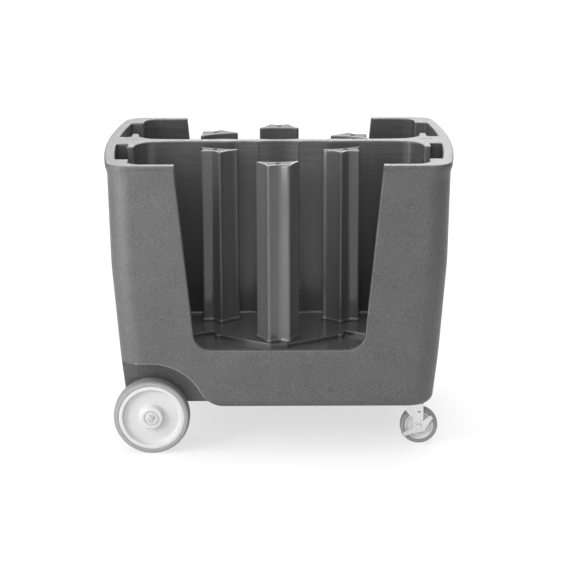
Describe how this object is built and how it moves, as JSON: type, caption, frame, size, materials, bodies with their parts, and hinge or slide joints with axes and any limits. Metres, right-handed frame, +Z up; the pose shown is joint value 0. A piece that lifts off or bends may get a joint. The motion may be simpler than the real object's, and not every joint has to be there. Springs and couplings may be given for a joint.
{
  "type": "plate cart",
  "caption": "Moulded plastic plate cart with open-sided bays, lift-out towers, large fixed wheels and braked swivel casters.",
  "frame": {"origin": "on the floor, under the middle of the cart's bounding box", "axes": "+X along the cart's length towards the swivel casters, +Y towards the back long side, +Z up"},
  "size_m": [0.97, 0.7292, 0.816],
  "materials": {
    "shell": "fine pebbled charcoal moulding",
    "tower": "smooth charcoal moulding",
    "zinc": "zinc-plated steel",
    "bright_zinc": "bright zinc-plated pressing",
    "hub_white": "off-white moulding",
    "bush": "dark bearing bush",
    "tyre_grey": "grey non-marking tyre",
    "core_grey": "light grey wheel core",
    "tread_dark": "dark grey caster tread"
  },
  "bodies": {
    "cart": {"body_shell": "shell", "rear_axle": "zinc", "axle_bracket_front": "zinc", "axle_bracket_back": "zinc", "bracket_bolts": "zinc", "axle_spacer_front": "zinc", "axle_spacer_back": "zinc", "axle_washers": "zinc", "axle_nuts": "zinc", "caster_plate_front": "bright_zinc", "plate_bolts_front": "bright_zinc", "kingpin_front": "bright_zinc", "caster_plate_back": "bright_zinc", "plate_bolts_back": "bright_zinc", "kingpin_back": "bright_zinc"},
    "tower_body_front_left": {"tower_front_left": "tower"},
    "tower_body_front_centre": {"tower_front_centre": "tower"},
    "tower_body_front_right": {"tower_front_right": "tower"},
    "tower_body_back_left": {"tower_back_left": "tower"},
    "tower_body_back_centre": {"tower_back_centre": "tower"},
    "tower_body_back_right": {"tower_back_right": "tower"},
    "rear_wheel_front": {"wheel_hub_front": "hub_white", "wheel_bush_front": "bush", "tyre_front": "tyre_grey"},
    "rear_wheel_back": {"wheel_hub_back": "hub_white", "wheel_bush_back": "bush", "tyre_back": "tyre_grey"},
    "caster_fork_front": {"fork_front": "bright_zinc", "swivel_race_front": "bright_zinc", "caster_sleeve_front": "bright_zinc", "caster_bolt_front": "bright_zinc", "caster_nut_front": "bright_zinc"},
    "caster_wheel_front": {"caster_core_front": "core_grey", "caster_tread_front": "tread_dark"},
    "brake_front": {"brake_lever_front": "bright_zinc"},
    "caster_fork_back": {"fork_back": "bright_zinc", "swivel_race_back": "bright_zinc", "caster_sleeve_back": "bright_zinc", "caster_bolt_back": "bright_zinc", "caster_nut_back": "bright_zinc"},
    "caster_wheel_back": {"caster_core_back": "core_grey", "caster_tread_back": "tread_dark"},
    "brake_back": {"brake_lever_back": "bright_zinc"}
  },
  "joints": [
    {"name": "lift_out_front_left", "type": "slide", "parent": "cart", "child": "tower_body_front_left", "axis": [0, 0, 1], "range_m": [0, 0.53]},
    {"name": "lift_out_front_centre", "type": "slide", "parent": "cart", "child": "tower_body_front_centre", "axis": [0, 0, 1], "range_m": [0, 0.53]},
    {"name": "lift_out_front_right", "type": "slide", "parent": "cart", "child": "tower_body_front_right", "axis": [0, 0, 1], "range_m": [0, 0.53]},
    {"name": "lift_out_back_left", "type": "slide", "parent": "cart", "child": "tower_body_back_left", "axis": [0, 0, 1], "range_m": [0, 0.53]},
    {"name": "lift_out_back_centre", "type": "slide", "parent": "cart", "child": "tower_body_back_centre", "axis": [0, 0, 1], "range_m": [0, 0.53]},
    {"name": "lift_out_back_right", "type": "slide", "parent": "cart", "child": "tower_body_back_right", "axis": [0, 0, 1], "range_m": [0, 0.53]},
    {"name": "rear_wheel_spin_front", "type": "hinge", "parent": "cart", "child": "rear_wheel_front", "pos_m": [-0.353, -0.319, 0.105], "axis": [0, 1, 0], "continuous": true},
    {"name": "rear_wheel_spin_back", "type": "hinge", "parent": "cart", "child": "rear_wheel_back", "pos_m": [-0.353, 0.319, 0.105], "axis": [0, 1, 0], "continuous": true},
    {"name": "caster_swivel_front", "type": "hinge", "parent": "cart", "child": "caster_fork_front", "pos_m": [0.353, -0.252, 0.12], "axis": [0, 0, 1], "continuous": true},
    {"name": "caster_spin_front", "type": "hinge", "parent": "caster_fork_front", "child": "caster_wheel_front", "pos_m": [0.39, -0.252, 0.0525], "axis": [0, 1, 0], "continuous": true},
    {"name": "brake_press_front", "type": "hinge", "parent": "caster_fork_front", "child": "brake_front", "pos_m": [0.39, -0.252, 0.0525], "axis": [0, -1, 0], "range_deg": [0, 20]},
    {"name": "caster_swivel_back", "type": "hinge", "parent": "cart", "child": "caster_fork_back", "pos_m": [0.353, 0.252, 0.12], "axis": [0, 0, 1], "continuous": true},
    {"name": "caster_spin_back", "type": "hinge", "parent": "caster_fork_back", "child": "caster_wheel_back", "pos_m": [0.39, 0.252, 0.0525], "axis": [0, 1, 0], "continuous": true},
    {"name": "brake_press_back", "type": "hinge", "parent": "caster_fork_back", "child": "brake_back", "pos_m": [0.39, 0.252, 0.0525], "axis": [0, -1, 0], "range_deg": [0, 20]}
  ]
}
